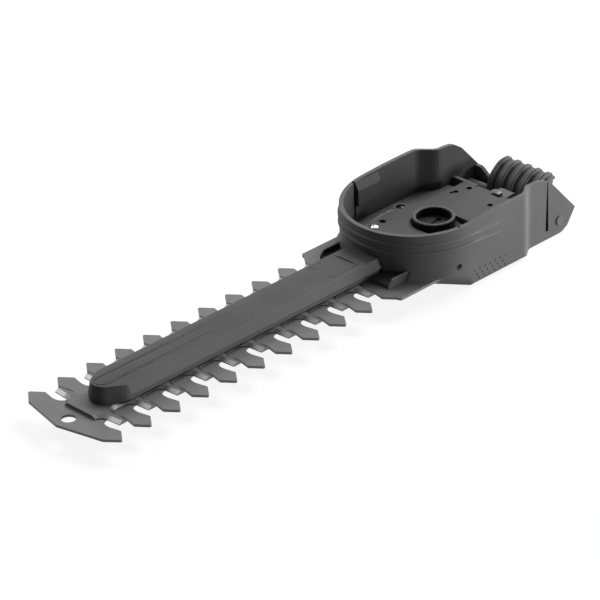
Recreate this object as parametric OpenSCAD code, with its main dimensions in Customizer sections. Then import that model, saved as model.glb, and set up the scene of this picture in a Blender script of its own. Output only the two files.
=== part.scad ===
// Blade head of a hand-held hedge trimmer: a fixed comb and a sliding cutter
// under a guide bar, carried by a tub-shaped housing with a drive cup and a
// ribbed latch lever. Millimetres. The origin is on the drive cup's axis,
// level with the top of the deck. +X runs from the blade's tip to the lever.

/* [Comb plate] */
// Spacing of the teeth along the blade
pitch = 20; // [18:0.5:22]
// Number of gaps along each side
gaps = 10; // [7:1:12]
// Distance of the last gap ahead of the drive axis
gap_back = 76; // [74:1:84]
// Thickness of the comb plate
comb_t = 1.5; // [1.2:0.1:1.8]
// Half width over the points of the teeth
comb_y = 35.4; // [34:0.2:37]
// Width of a tooth's head
head_w = 11.2; // [10:0.2:12]
// Width of a tooth's neck
neck_w = 8.2; // [7:0.2:9]
// Height of the widest place of the head above the centre line
head_y = 29; // [28:0.5:30]
// Height of the round root of each gap above the centre line
root_y = 14.1; // [13.9:0.1:15]
// Flat left on each point
point_w = 1; // [0.6:0.1:2]
// Distance of the blade's nose ahead of the first teeth
nose_l = 12.4; // [11:0.2:15]
// Diameter of the hanging hole in the nose
tip_hole_d = 8; // [5:0.5:9]
// Distance of the hanging hole ahead of the first teeth
tip_hole_l = 4.1; // [3:0.1:5]
// Half width of the guard plates beside the housing
guard_y = 37.8; // [36.5:0.2:38.2]
// Length of the slanted front edge of the guard plates
guard_l = 6.1; // [4:0.1:8]
// Half width of the comb's tail inside the housing
tail_y = 21; // [18:0.5:22]

/* [Cutter blade] */
// Thickness of the cutter
cutter_t = 1.9; // [1.6:0.1:2.2]
// Half width over the tips of the cutter's teeth
cutter_y = 24.6; // [23.5:0.1:26]
// Half width of the cutter's body, at the root of the teeth
body_y = 11.6; // [11:0.1:12.6]
// Width of a tooth at its tip
tip_w = 5.2; // [4.6:0.1:6]
// Width of a tooth at its foot
foot_w = 6.6; // [6:0.2:8]
// Radius of the corners of each gullet
gullet_r = 4.5; // [3:0.5:5]
// Width of the ground bevel round each gullet
bevel_w = 2.1; // [1.2:0.05:2.2]
// Height of the cutting edge left under the bevel
land_h = 0.5; // [0.3:0.1:0.8]
// Length of the body ahead of the first teeth
front_l = 7.4; // [6:0.1:8]
// Full stroke of the cutter
stroke = 16; // [12:1:18]
// Place of the cutter at rest, from the middle of its stroke
rest_x = 1.1; // [-4:0.1:4]

/* [Guide bar] */
// Width of the bar at its widest
bar_w = 25.4; // [24:0.2:25.6]
// Width of the bar's top
bar_top_w = 22; // [18:0.5:23]
// Width of the undercut foot of the bar
bar_foot_w = 24.6; // [23:0.2:25]
// Height of the bar's foot
bar_foot_h = 2.5; // [1.5:0.1:4]
// Height of the bar at its top edges
bar_h = 8.6; // [7:0.2:10]
// Rise of the bar's crowned top above its edges
crown = 1.05; // [0.4:0.05:2]
// Radius of the bar's nose
nose_r = 8.5; // [6:0.5:10]
// Distance of the nose behind the first gap
bar_set = 2.3; // [0:0.1:6]
// Half spacing of the pair of grooves along the top
groove_y = 4.3; // [3:0.1:7]
// Depth of these grooves at the nose
groove_d = 0.6; // [0.3:0.1:1]
// Length of the label field
label_l = 19.5; // [15:0.5:24]
// Width of the label field
label_w = 18; // [12:0.5:20]

/* [Housing] */
// Radius of the tub's round front
tub_r = 42.3; // [41.8:0.1:44]
// Distance of the tub's centre ahead of the drive axis
tub_back = 14; // [13:0.5:16]
// Thickness of the walls
wall = 2.4; // [2:0.1:2.8]
// Half width over the cheeks at the rear
cheek_y = 35.3; // [34:0.1:37]
// Where the tub starts to draw in to the cheeks
jog_x = 27; // [22:0.5:29]
// Length over which it draws in
jog_l = 14; // [12:0.5:20]
// Height of the rim at the front
rim_front = 17.7; // [15:0.1:19]
// Height of the rim at its highest, at the sides
rim_side = 20.3; // [19.5:0.1:22]
// Height of the cheeks
cheek_top = 18.2; // [16:0.1:19]
// Where the housing ends at the rear
heel_x = 77.9; // [76:0.2:80]
// Depth of the sole under the deck
sole_drop = 20.4; // [19:0.1:22]
// Depth of the comb's top under the deck
blade_drop = 8; // [7.8:0.1:8.6]
// Radius along the bottom edges
edge_r = 4; // [2:0.5:5]
// Diameter of the two beads round the tub
bead_d = 2.2; // [1.6:0.1:3]
// Height of the upper bead
bead_z = 12.3; // [10:0.1:14]
// Spacing of the beads
bead_step = 5.1; // [4:0.1:6]
// Radius of the flare at the foot of the tub
flare_r = 45; // [43.5:0.1:46]
// Reach of the hood over the blade ahead of the tub
hood_l = 7; // [5:0.5:9]
// Half width of the hood
hood_y = 26; // [24:0.5:26]
// Half width of the bow's forefoot at the sole
fore_y = 37; // [34:0.5:38]
// Distance of the forefoot ahead of the drive axis
fore_back = 23; // [20:0.5:26]

/* [Deck] */
// Thickness of the deck plate
deck_t = 2; // [1.5:0.1:2.2]
// Radius of the deck's round front
deck_r = 26.5; // [25.5:0.1:28]
// Half width of the deck between the cheeks
deck_y = 20.5; // [19:0.1:22]
// Where the deck ends at the rear
deck_x = 48; // [46:0.2:49]
// Half width of the opening for the drive cup
port_r = 13; // [12.8:0.1:13.6]
// Reach of the opening toward the side
port_l = 18; // [15:0.5:20]
// Distance of the front screws ahead of the drive axis
deck_screw_back = 27.5; // [26.5:0.1:28]
// Half spacing of the front screws
deck_screw_y = 19.2; // [18:0.1:19.6]
// Half spacing of the side screws
side_screw_y = 26; // [25:0.1:27]

/* [Drive] */
// Outer diameter of the cup's collar
cup_d = 24; // [22:0.2:25]
// Inner diameter of the cup
cup_bore = 20; // [18:0.1:21]
// Height of the cup's rim above the deck
cup_h = 3.7; // [2:0.1:6]
// Depth of the cup's floor under the deck
cup_floor = 1.5; // [1:0.1:1.8]
// Diameter of the cup's flange
flange_d = 28.4; // [27:0.2:29]
// Diameter of the journal under the cup
journal_d = 24; // [23:0.2:25]
// Wall of the bearing bush
bush_t = 1.95; // [1.2:0.05:2.5]
// Diameter of the crank pin
crank_d = 6; // [4:0.5:6.5]
// Diameter of the roller on the crank pin
roller_d = 10; // [8:0.5:11]

/* [Latch] */
// Where the latch pin's axis lies behind the drive axis
pivot_x = 64.7; // [64:0.1:66]
// Depth of the latch pin's axis under the deck
pivot_drop = 12; // [11:0.1:13]
// Diameter of the latch pin
pin_d = 3.2; // [2.5:0.1:3.6]
// Radius of the lever's arch
arch_r = 13.3; // [12.5:0.1:14.5]
// Height of the ribs on the arch
rib_h = 1.6; // [0.8:0.1:2]
// Thickness of a rib
rib_t = 2.2; // [1.6:0.1:2.6]
// Spacing of the ribs
rib_step = 7.65; // [6:0.05:8]
// Width of the lever
lever_w = 37; // [34:0.5:40]
// Thickness of the lever's shell
shell_t = 2; // [1.6:0.1:2.6]
// Diameter of the barrels on the latch pin
barrel_d = 7.2; // [6:0.1:8]
// Length of the latch stud along the part
stud_l = 5; // [4:0.1:6]
// Width of the latch stud
stud_w = 6.5; // [5:0.1:8]
// Wire of the latch spring
wire_d = 0.9; // [0.6:0.1:1.2]
// Number of turns of the latch spring
turns = 5; // [3:1:6]

/* [Fits] */
// Gap under the cutter
slide_gap = 0.1; // [0.05:0.05:0.2]
// Gap over the cutter, under the bar
lift_gap = 0.2; // [0.1:0.05:0.4]
// Running fit of shafts in their holes, on the radius
run_gap = 0.05; // [0.02:0.01:0.1]
// Free space between a moving piece and a wall beside it
side_gap = 0.5; // [0.3:0.1:0.8]
// Free space round the roller in the cutter's slot
yoke_gap = 2; // [1.9:0.1:2.6]

/* [Hidden] */
$fn = 72;
e = 0.02;
big = 400;

// Levels, from the deck's top down
comb_top = -blade_drop;
comb_bot = comb_top - comb_t;
cutter_bot = comb_top + slide_gap;
cutter_top = cutter_bot + cutter_t;
bar_bot = cutter_top + lift_gap;
web_bot = cutter_top + 0.3;
web_t = 2.2;
web_top = web_bot + web_t;
floor_t = 1.7;
floor_top = comb_top + floor_t;
sole_z = -sole_drop;
lid_t = 2.2;
lid_top = sole_z + lid_t;
ledge_t = 1.5;
ledge_top = lid_top + ledge_t;
washer_t = 0.5;
washer_top = web_top + washer_t;
flange_bot = washer_top + run_gap;
flange_top = -deck_t - 0.15;
journal_bot = web_bot - run_gap;

// Places along the blade
last_gap = -gap_back;
first_gap = last_gap - pitch * (gaps - 1);
tip_x = first_gap - pitch / 2;
gap_r = (pitch - neck_w) / 2;
mouth_x = (pitch - head_w) / 2;
bush_d = 8;
bush_step = pitch * (gaps - 2.5) / 3;
bush_xs = [for (i = [0:3]) last_gap - pitch / 2 - bush_step * i];
screw_d = 3.2;
bar_screw_l = 5;
bar_nose_x = first_gap + bar_set;
tub_x = -tub_back;
bar_end = tub_x - tub_r;

// The crank and the yoke of the cutter
crank_e = stroke / 2;
rest_turn = 90 * rest_x / crank_e;
crank_x = crank_e * sin(rest_turn);
crank_y = -crank_e * cos(rest_turn);
slot_x = roller_d / 2 + yoke_gap;
slot_y = crank_e + roller_d / 2 + 0.6;
yoke_x = slot_x + 7;
yoke_y = slot_y + 5.4;
bore_r = journal_d / 2 + run_gap + bush_t;

// The chamber that the cutter runs in
room_x = yoke_x + crank_e + 1.2;
room_y = yoke_y + side_gap;
lane_y = body_y + side_gap;
cover_wall = 1.6;

// Screw places inside the housing
comb_screw_r = 1.5;
comb_front_x = tub_x - 28;
comb_front_y = 17.5;
comb_rear_x = room_x + 5.5;
comb_rear_y = 12;
tail_x = comb_rear_x + 5;
guard_x = last_gap + mouth_x + guard_l;
slot_end = tub_x - 10;
lid_x0 = -17;
lid_x1 = 38;
lid_y = 33;
lid_r = 6;
lid_gap = 0.15;
lid_screws = [for (x = [lid_x0 + 11, lid_x1 - 8], s = [-1, 1]) [x, s * (lid_y - 6)]];
side_screw_x = 0.5;
deck_screws_at = [for (s = [-1, 1]) [-deck_screw_back, s * deck_screw_y]];
side_screws_at = [for (s = [-1, 1]) [side_screw_x, s * side_screw_y]];
deck_screw_d = 2.8;
post_r = 2.9;

// The rear of the housing and the latch
boss_d = 6.8;
bulkhead_x = deck_x - 1;
brace_x = deck_x + 5;
brace_t = 2.4;
brace_y = 15;
brace_top = -deck_t - 0.5;
gusset_x = pivot_x + boss_d / 2 + 1.4;
gusset_top = -2;
pivot_z = -pivot_drop;
lever_y = lever_w / 2;
arch_x = pivot_x + arch_r - 1.3;
arch_z = pivot_z + 2;
rib_r = arch_r + rib_h;
arm_y = 5;
end_barrel = 5;
stud_top = -0.5;
stud_h = 3.5;
stud_x = deck_x + 3.5;
arm_top = stud_top - stud_h;
coil_r = pin_d / 2 + 0.55 + wire_d / 2;
coil_step = wire_d + 0.15;
coil_y = arm_y + 0.3 + wire_d / 2;

// Places with both signs of Y
module both_sides() {
    children();
    mirror([0, 1, 0]) children();
}

// Rectangle with round corners
module rounded(x0, x1, y, r) {
    for (x = [x0 + r, x1 - r], s = [-1, 1]) translate([x, s * (y - r)]) circle(r = r);
    translate([x0 + r, -y]) square([x1 - x0 - 2 * r, 2 * y]);
    translate([x0, -y + r]) square([x1 - x0, 2 * y - 2 * r]);
}

// The blade
// One gap of the comb on the +Y side, open outward
module comb_gap() {
    bend_y = root_y + gap_r + 2;
    translate([0, root_y + gap_r]) circle(r = gap_r);
    polygon([
        [-gap_r, root_y + gap_r], [gap_r, root_y + gap_r], [gap_r, bend_y],
        [mouth_x, head_y], [(pitch - point_w) / 2, comb_y],
        [(pitch - point_w) / 2, comb_y + 9], [-(pitch - point_w) / 2, comb_y + 9],
        [-(pitch - point_w) / 2, comb_y], [-mouth_x, head_y], [-gap_r, bend_y]
    ]);
}

// The whole plate before its gaps are cut, on the +Y side
module comb_blank() {
    polygon([
        [tip_x - nose_l, 0], [tip_x - nose_l, 0.6], [tip_x - 6.3, head_y - 0.6],
        [tip_x - point_w / 2, comb_y], [last_gap, comb_y], [last_gap, guard_y],
        [last_gap + mouth_x, head_y], [guard_x, guard_y], [slot_end, guard_y],
        [slot_end + guard_y - tail_y, tail_y], [tail_x - 3, tail_y], [tail_x, tail_y - 3],
        [tail_x, 0]
    ]);
}

module comb_plate() {
    color("dimgray") translate([0, 0, comb_bot]) linear_extrude(comb_t) difference() {
        both_sides() difference() {
            comb_blank();
            for (k = [0:gaps - 1]) translate([last_gap - pitch * k, 0]) comb_gap();
        }
        translate([tip_x - tip_hole_l, 0]) circle(d = tip_hole_d);
        for (x = bush_xs) translate([x, 0]) circle(d = screw_d);
        both_sides() {
            translate([comb_front_x, comb_front_y]) circle(r = comb_screw_r);
            translate([comb_rear_x, comb_rear_y]) circle(r = comb_screw_r);
        }
    }
}

// One gullet between two cutter teeth, on the +Y side
gullet_foot = (pitch - foot_w) / 2;
gullet_tip = (pitch - tip_w) / 2;
gullet_y = body_y + gullet_r;
flank = [gullet_tip - gullet_foot, cutter_y - gullet_y];
flank_l = norm(flank);

module gullet() {
    for (s = [-1, 1]) translate([s * (gullet_foot - gullet_r), gullet_y]) circle(r = gullet_r);
    translate([gullet_r - gullet_foot, body_y]) square([2 * (gullet_foot - gullet_r), gullet_r]);
    polygon([
        [-gullet_foot, gullet_y], [gullet_foot, gullet_y],
        [gullet_tip, cutter_y], [gullet_tip, cutter_y + 4],
        [-gullet_tip, cutter_y + 4], [-gullet_tip, cutter_y]
    ]);
}

// The grinding wedge that runs along one straight edge, to its left
module grind(at, turn, length) {
    rise = cutter_t - land_h;
    translate([at[0], at[1], land_h]) rotate([0, 0, turn]) rotate([90, 0, 90])
        linear_extrude(length) polygon([[-0.3, 0], [0, 0], [bevel_w, rise],
            [bevel_w * 1.2, rise * 1.2], [-0.3, rise * 1.2]]);
}

// Ground bevel all round one gullet
module gullet_bevel() {
    rise = cutter_t - land_h;
    lean = atan2(flank[0], flank[1]);
    for (s = [-1, 1]) translate([s * (gullet_foot - gullet_r), gullet_y, land_h])
        cylinder(h = rise * 1.2, r1 = gullet_r, r2 = gullet_r + bevel_w * 1.2);
    grind([gullet_foot - gullet_r, body_y], 180, 2 * (gullet_foot - gullet_r));
    grind([-gullet_foot, gullet_y], 90 + lean, flank_l + 3);
    mirror([1, 0, 0]) grind([-gullet_foot, gullet_y], 90 + lean, flank_l + 3);
}

module cutter_blade() {
    tooth_0 = first_gap + rest_x;
    front_x = tooth_0 - front_l;
    last_x = last_gap + rest_x;
    color("silver") translate([0, 0, cutter_bot]) difference() {
        linear_extrude(cutter_t) difference() {
            union() {
                translate([front_x, -cutter_y])
                    square([last_x + pitch / 2 - front_x, 2 * cutter_y]);
                translate([front_x, -body_y]) square([rest_x - front_x, 2 * body_y]);
                rounded(rest_x - yoke_x, rest_x + yoke_x, yoke_y, 3);
            }
            both_sides() for (k = [-1:gaps - 1])
                translate([last_x + pitch / 2 - pitch * (k + 1), 0]) gullet();
            both_sides() translate([tooth_0 - pitch / 2 - 4, body_y])
                square([4 + gullet_foot - gullet_r, 30]);
            for (x = bush_xs) translate([x + rest_x, 0]) guide_slot();
            translate([rest_x - slot_x, -slot_y]) square([2 * slot_x, 2 * slot_y]);
        }
        both_sides() for (k = [-1:gaps - 1])
            translate([last_x + pitch / 2 - pitch * (k + 1), 0, 0]) gullet_bevel();
    }
}

// Slot of the cutter that runs on a bush
module guide_slot() {
    half_w = bush_d / 2 + 0.25;
    reach = crank_e + 0.4;
    for (s = [-1, 1]) translate([s * reach, 0]) circle(r = half_w);
    translate([-reach, -half_w]) square([2 * reach, 2 * half_w]);
}

module guide_bushes() {
    color("gray") for (x = bush_xs) translate([x, 0, comb_top]) difference() {
        cylinder(h = bar_bot - comb_top, d = bush_d);
        translate([0, 0, -1]) cylinder(h = 9, d = screw_d);
    }
}

module bar_screws() {
    color("darkgray") for (x = bush_xs) translate([x, 0, comb_bot]) {
        translate([0, 0, -1.2]) cylinder(h = 1.2, r1 = 3, r2 = 3.6);
        cylinder(h = bar_bot - comb_bot + bar_screw_l, d = screw_d);
    }
}

// The guide bar
// Section of the bar, with its height along Y
module bar_section() {
    crown_r = (pow(bar_top_w / 2, 2) + crown * crown) / (2 * crown);
    intersection() {
        polygon([
            [-bar_foot_w / 2, 0], [bar_foot_w / 2, 0], [bar_foot_w / 2, bar_foot_h],
            [bar_w / 2, bar_foot_h + 0.3], [bar_top_w / 2, bar_h], [bar_top_w / 2, bar_h + crown],
            [-bar_top_w / 2, bar_h + crown], [-bar_top_w / 2, bar_h],
            [-bar_w / 2, bar_foot_h + 0.3], [-bar_foot_w / 2, bar_foot_h]
        ]);
        translate([0, bar_h + crown - crown_r]) circle(r = crown_r, $fn = 360);
    }
}

// Round nose that the bar's section is cut to
module bar_nose() {
    full_x = bar_nose_x + nose_r + 8.5;
    lean = (bar_w - bar_top_w) / 2;
    hull() for (v = [[0, 0.3], [bar_foot_h, 0.3], [bar_foot_h + 0.3, 0], [bar_h + crown + 1, lean + 0.4]]) {
        translate([bar_nose_x + nose_r, 0, v[0]]) cylinder(h = e, r = nose_r - v[1] * 0.8, $fn = 40);
        translate([full_x, 0, v[0]]) cylinder(h = e, r = bar_w / 2 - v[1] + 0.05, $fn = 40);
    }
    translate([full_x, -bar_w, -1]) cube([big, 2 * bar_w, bar_h + crown + 3]);
}

// Outline of a hairpin groove of the given width round the centre line
module hairpin(y, w) {
    difference() {
        union() {
            translate([bar_nose_x + 3.2 + y, 0]) circle(r = y + w);
            translate([bar_nose_x + 3.2 + y, -y - w]) square([170, 2 * y + 2 * w]);
        }
        translate([bar_nose_x + 3.2 + y, 0]) circle(r = y);
        translate([bar_nose_x + 3.2 + y, -y]) square([171, 2 * y]);
    }
}

module guide_bar() {
    fade_l = pitch * (gaps - 2.2);
    color([0.22, 0.22, 0.23]) difference() {
        translate([0, 0, bar_bot]) intersection() {
            translate([bar_nose_x - 1, 0, 0]) rotate([90, 0, 90])
                linear_extrude(bar_end - bar_nose_x + 4) bar_section();
            bar_nose();
        }
        translate([tub_x, 0, bar_bot - 1]) cylinder(h = 30, r = tub_r + 0.05);
        for (x = bush_xs) translate([x, 0, bar_bot - 1]) cylinder(h = bar_screw_l + 1, d = screw_d);
        translate([bar_nose_x, 0, bar_bot + bar_h + crown - groove_d])
            rotate([0, -atan(groove_d / fade_l), 0]) translate([-bar_nose_x, 0, 0])
                linear_extrude(3) for (k = [0, 1]) hairpin(groove_y - 1.1 * k, 0.45);
        translate([last_gap - 13, -label_w / 2, bar_bot + bar_h + crown - 0.95])
            difference() {
                cube([label_l, label_w, 3]);
                translate([0.5, 0.5, -1]) cube([label_l - 1, label_w - 1, 1.5]);
            }
    }
}

// The housing
// Plan of the housing, drawn in by an inset; the rear edge can be moved
module plan(inset = 0, rear = heel_x + 2) {
    steps = 8;
    draw = [for (i = [0:steps]) [jog_x + jog_l * i / steps,
        cheek_y - inset + (tub_r - cheek_y) * (1 + cos(180 * i / steps)) / 2]];
    translate([tub_x, 0]) circle(r = tub_r - inset);
    polygon(concat([[tub_x, tub_r - inset]], draw, [[rear, cheek_y - inset]],
        [[rear, inset - cheek_y]],
        [for (i = [steps:-1:0]) [draw[i][0], -draw[i][1]]],
        [[tub_x, inset - tub_r]]));
}

// Side view of the housing, as a solid through its whole width
module side_view() {
    steps = 6;
    front = tub_x - tub_r - 20;
    mid_x = 16;
    lift = [for (i = [0:steps]) [tub_x - tub_r + (mid_x - tub_x + tub_r) * i / steps,
        rim_front + (rim_side - rim_front) * (1 - cos(180 * i / steps)) / 2]];
    fall = [for (i = [0:steps]) [mid_x + 8 + 22 * i / steps,
        rim_side + (cheek_top - rim_side) * (1 - cos(180 * i / steps)) / 2]];
    rotate([90, 0, 0]) linear_extrude(2 * tub_r + 20, center = true) polygon(concat(
        [[front, sole_z], [front, rim_front]], lift, fall,
        [[mid_x + 34.6, cheek_top - 0.6], [mid_x + 38.4, cheek_top - 2.4],
            [mid_x + 42.3, cheek_top - 5.1], [heel_x, -8.5], [heel_x - 6.5, sole_z + 2.6],
            [heel_x - 10.6, sole_z + 0.5], [heel_x - 13, sole_z]]));
}

// Bow under the comb, as a solid drawn in by an inset
module bow(inset) {
    r = tub_r - inset;
    foot = sole_z + inset * 0.9;
    up = comb_bot - 0.8;
    hull() {
        translate([tub_x, 0, up]) difference() {
            cylinder(h = 0.8 + (inset > 0 ? e : 0), r = r, $fn = 64);
            translate([0, -tub_r, -1]) cube([tub_r + 1, 2 * tub_r, 3]);
        }
        translate([tub_x, 0, 0]) rotate([90, 0, 90]) linear_extrude(0.5) intersection() {
            translate([-r, foot]) square([2 * r, up - foot]);
            union() {
                translate([-r, foot + edge_r]) square([2 * r, 40]);
                for (s = [-1, 1]) translate([s * (r - edge_r), foot + edge_r])
                    circle(r = edge_r, $fn = 32);
                translate([edge_r - r, foot]) square([2 * (r - edge_r), edge_r]);
            }
        }
        for (s = [-1, 1]) translate([-fore_back + 14 + inset, s * (fore_y - 14 - inset), foot])
            cylinder(h = 0.6, r = 13, $fn = 48);
    }
}

// What the cutter needs free inside the housing
module cutter_room() {
    translate([-room_x, -room_y, comb_top - 1]) cube([2 * room_x, 2 * room_y, web_bot - comb_top + 1]);
    translate([tub_x - tub_r - hood_l - 2, -lane_y, comb_top - 1])
        cube([tub_r + hood_l, 2 * lane_y, web_bot - comb_top + 1]);
}

// Floor of the tub: low beside the deck, raised over the cutter
module tub_floor() {
    lid = lane_y + cover_wall;
    intersection() {
        linear_extrude(20, center = true) plan(wall / 2, bulkhead_x);
        union() {
            translate([-big / 2, -big / 2, comb_top]) cube([big / 2 + bulkhead_x, big, floor_t]);
            translate([-room_x - cover_wall, -room_y - cover_wall, comb_top])
                cube([2 * (room_x + cover_wall), 2 * (room_y + cover_wall), web_top - comb_top]);
            translate([tub_x - tub_r, -lid, comb_top])
                cube([tub_r, 2 * lid, web_top - 0.7 - comb_top]);
            both_sides() {
                translate([comb_rear_x, comb_rear_y, comb_top]) cylinder(h = web_top - comb_top, r = 4);
                translate([comb_front_x, comb_front_y, comb_top]) cylinder(h = 4, r = 3.5);
            }
        }
    }
    for (p = concat(side_screws_at, deck_screws_at)) translate([p[0], p[1], comb_top])
        cylinder(h = -deck_t - comb_top, r = post_r);
    for (p = lid_screws) translate([p[0], p[1], lid_top])
        cylinder(h = comb_top + 1 - lid_top, r = 3.4);
}

// Beads round the tub, which dive into the wall at the sides
module beads() {
    r = bead_d / 2;
    seat = tub_r - r + 0.7;
    for (k = [0, 1]) translate([0, 0, bead_z - bead_step * k]) {
        translate([tub_x, 0, 0]) rotate([0, 0, 90]) rotate_extrude(angle = 180)
            translate([seat, 0]) circle(r = r);
        both_sides() translate([tub_x, seat, 0]) rotate([0, 90, -2 - k])
            cylinder(h = 28 - 8 * k, r = r);
    }
}

// Shallow tray beside the bar: a low floor, a thin rim outside and a ridge round the tub
module hood() {
    rim_t = 0.9;
    rim_top = floor_top + 3.4;
    difference() {
        intersection() {
            union() {
                translate([tub_x - tub_r - hood_l, -hood_y, comb_top])
                    cube([tub_r + hood_l, 2 * hood_y, 2.2]);
                translate([tub_x, 0, comb_top]) cylinder(h = rim_top - comb_top, r = tub_r + rim_t);
                both_sides() translate([tub_x - tub_r - hood_l, hood_y - rim_t, comb_top])
                    cube([tub_r + hood_l, rim_t, rim_top - comb_top]);
            }
            translate([tub_x - tub_r - hood_l, -hood_y, comb_top - 1])
                cube([24 + hood_l, 2 * hood_y, 20]);
            both_sides() translate([tub_x - tub_r - hood_l, -e, comb_top]) rotate([90, 0, 0])
                translate([0, 0, -hood_y]) linear_extrude(hood_y) polygon([
                    [0, 0], [0, 2.2], [3, rim_top - comb_top], [50, rim_top - comb_top], [50, 0]]);
        }
        translate([-big, -bar_w / 2 - 0.2, comb_top - 1]) cube([big, bar_w + 0.4, 30]);
    }
}

module flare() {
    h = 5;
    translate([tub_x, 0, comb_top]) intersection() {
        cylinder(h = h, r1 = flare_r, r2 = tub_r - e);
        both_sides() translate([-tub_r - 5, 26, 0]) cube([tub_r - 7, 30, h]);
    }
}

// Catch pad on the inside of each wall that a nose of the tool snaps behind
module catch_pad() {
    x0 = tub_x - 7;
    intersection() {
        difference() {
            translate([x0, 0, 0]) rotate([90, 0, 90]) linear_extrude(18) polygon([
                [tub_r - wall - 2.6, 4.5], [tub_r - wall + 1, 3], [tub_r - wall + 1, rim_side - 2],
                [tub_r - wall - 0.4, rim_side - 2], [tub_r - wall - 2.6, rim_side - 6.5]]);
        }
        side_view();
        linear_extrude(big, center = true) plan(wall / 2);
    }
}

module wall_ring(z0, z1) {
    intersection() {
        translate([0, 0, z0]) linear_extrude(z1 - z0) difference() {
            plan(0);
            plan(wall, heel_x + 5);
        }
        side_view();
    }
}

// Lower body behind the tub's centre, open at the bottom for the sole cover
module belly() {
    difference() {
        union() {
            wall_ring(sole_z, comb_top);
            intersection() {
                translate([0, 0, sole_z]) linear_extrude(ledge_top - sole_z) plan(wall / 2, heel_x - 8);
                side_view();
            }
        }
        translate([tub_x - tub_r - 5, -tub_r - 1, sole_z - 1])
            cube([tub_r + 5, 2 * tub_r + 2, comb_top - sole_z + 2]);
        both_sides() difference() {
            translate([tub_x - 1, tub_r - edge_r, sole_z - e]) cube([90, edge_r + 1, edge_r]);
            translate([tub_x - 2, tub_r - edge_r, sole_z + edge_r]) rotate([0, 90, 0])
                cylinder(h = 92, r = edge_r);
        }
    }
}

module heel() {
    inner = cheek_y - wall + e;
    intersection() {
        union() {
            translate([bulkhead_x - 2.2, -inner, sole_z + 1]) cube([2.2, 2 * inner, floor_top - sole_z - 1]);
            both_sides() {
                translate([brace_x - brace_t, brace_y, lid_top])
                    cube([brace_t, inner - brace_y, brace_top - lid_top]);
                translate([pivot_x, lever_y + 0.3, pivot_z]) rotate([-90, 0, 0])
                    cylinder(h = inner - lever_y - 0.3, d = boss_d);
                translate([pivot_x - 1, lever_y + 1.5, lid_top])
                    cube([2, inner - lever_y - 1.5, pivot_z - lid_top]);
                translate([gusset_x, 0, 0]) rotate([90, 0, 90]) linear_extrude(brace_t) polygon([
                    [lever_y + 0.6, pivot_z], [lever_y + 0.6, gusset_top - 7],
                    [lever_y + 5, gusset_top - 4.2], [lever_y + 9.5, gusset_top - 0.6],
                    [lever_y + 11, gusset_top], [inner, gusset_top], [inner, pivot_z]]);
            }
        }
        side_view();
    }
}

module housing_shell() {
    color([0.33, 0.33, 0.34]) difference() {
        union() {
            wall_ring(comb_bot, rim_side + 1);
            belly();
            difference() {
                bow(0);
                bow(wall);
            }
            tub_floor();
            difference() {
                union() {
                    beads();
                    hood();
                    flare();
                }
                translate([tub_x, 0, -30]) cylinder(h = 70, r = tub_r - wall / 2);
                translate([tub_x, 1 - tub_r + wall, -30]) cube([big, 2 * (tub_r - wall) - 2, 70]);
            }
            both_sides() catch_pad();
            heel();
        }
        // Slot that the comb and the cutter enter through
        translate([-big, -guard_y - 0.2, comb_bot]) cube([big + slot_end + 2, 2 * guard_y + 0.4, comb_t]);
        cutter_room();
        translate([0, 0, web_bot - 1]) cylinder(h = 9, r = bore_r);
        // Opening of the sole cover, with a ledge that it lies on
        translate([0, 0, sole_z - 1]) linear_extrude(lid_t + 1)
            rounded(lid_x0 - lid_gap, lid_x1 + lid_gap, lid_y + lid_gap, lid_r);
        translate([0, 0, sole_z + 1]) linear_extrude(lid_t + 2) difference() {
            rounded(lid_x0 + 2, lid_x1 - 2, lid_y - 2, lid_r - 2);
            for (p = lid_screws) translate(p) circle(r = 3.4);
        }
        // Screw holes
        for (p = deck_screws_at) translate([p[0], p[1], comb_top + 1]) cylinder(h = 9, d = deck_screw_d);
        for (p = side_screws_at) translate([p[0], p[1], comb_top + 1]) cylinder(h = 9, d = deck_screw_d);
        for (p = lid_screws) translate([p[0], p[1], lid_top - 1]) cylinder(h = 8, d = deck_screw_d);
        both_sides() {
            translate([comb_front_x, comb_front_y, comb_top - 1]) cylinder(h = 4, r = comb_screw_r);
            translate([comb_rear_x, comb_rear_y, comb_top - 1]) cylinder(h = 4, r = comb_screw_r);
        }
        // Hole of the latch pin, grooves in the cheeks, drain holes at the slot's end
        translate([pivot_x, -big / 2, pivot_z]) rotate([-90, 0, 0]) cylinder(h = big, d = pin_d);
        both_sides() {
            translate([0, cheek_y - 1.3, 0]) rotate([-90, 0, 0]) linear_extrude(3) polygon([
                [pivot_x - 10.2, -17.2], [pivot_x - 9.7, -17.2],
                [pivot_x - 9.2, 15.2], [pivot_x - 11.8, 15.2]]);
            translate([slot_end, tub_r - wall - 2, comb_top + 3.6]) rotate([-90, 0, 0])
                cylinder(h = 9, r = 1.9);
        }
        // Black grooves beside the catch pads
        both_sides() {
            translate([tub_x - 9, tub_r - wall - 4, comb_top + 3.4]) cube([1.6, 4.9, rim_side - comb_top]);
            translate([tub_x + 9, tub_r - wall - 4, 4]) cube([2.6, 5.4, 10]);
        }
    }
}

module sole_cover() {
    color([0.3, 0.3, 0.31]) difference() {
        union() {
            translate([0, 0, sole_z]) linear_extrude(lid_t) rounded(lid_x0, lid_x1, lid_y, lid_r);
            for (x = [lid_x0 + 16, lid_x1 - 16]) translate([x - 0.8, 8 - lid_y, lid_top - e])
                cube([1.6, 2 * lid_y - 16, 1.6]);
        }
        for (p = lid_screws) translate([p[0], p[1], sole_z]) {
            translate([0, 0, -1]) cylinder(h = 9, d = deck_screw_d);
            translate([0, 0, -e]) cylinder(h = 1.4, r1 = 2.8, r2 = 1.4);
        }
    }
}

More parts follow.
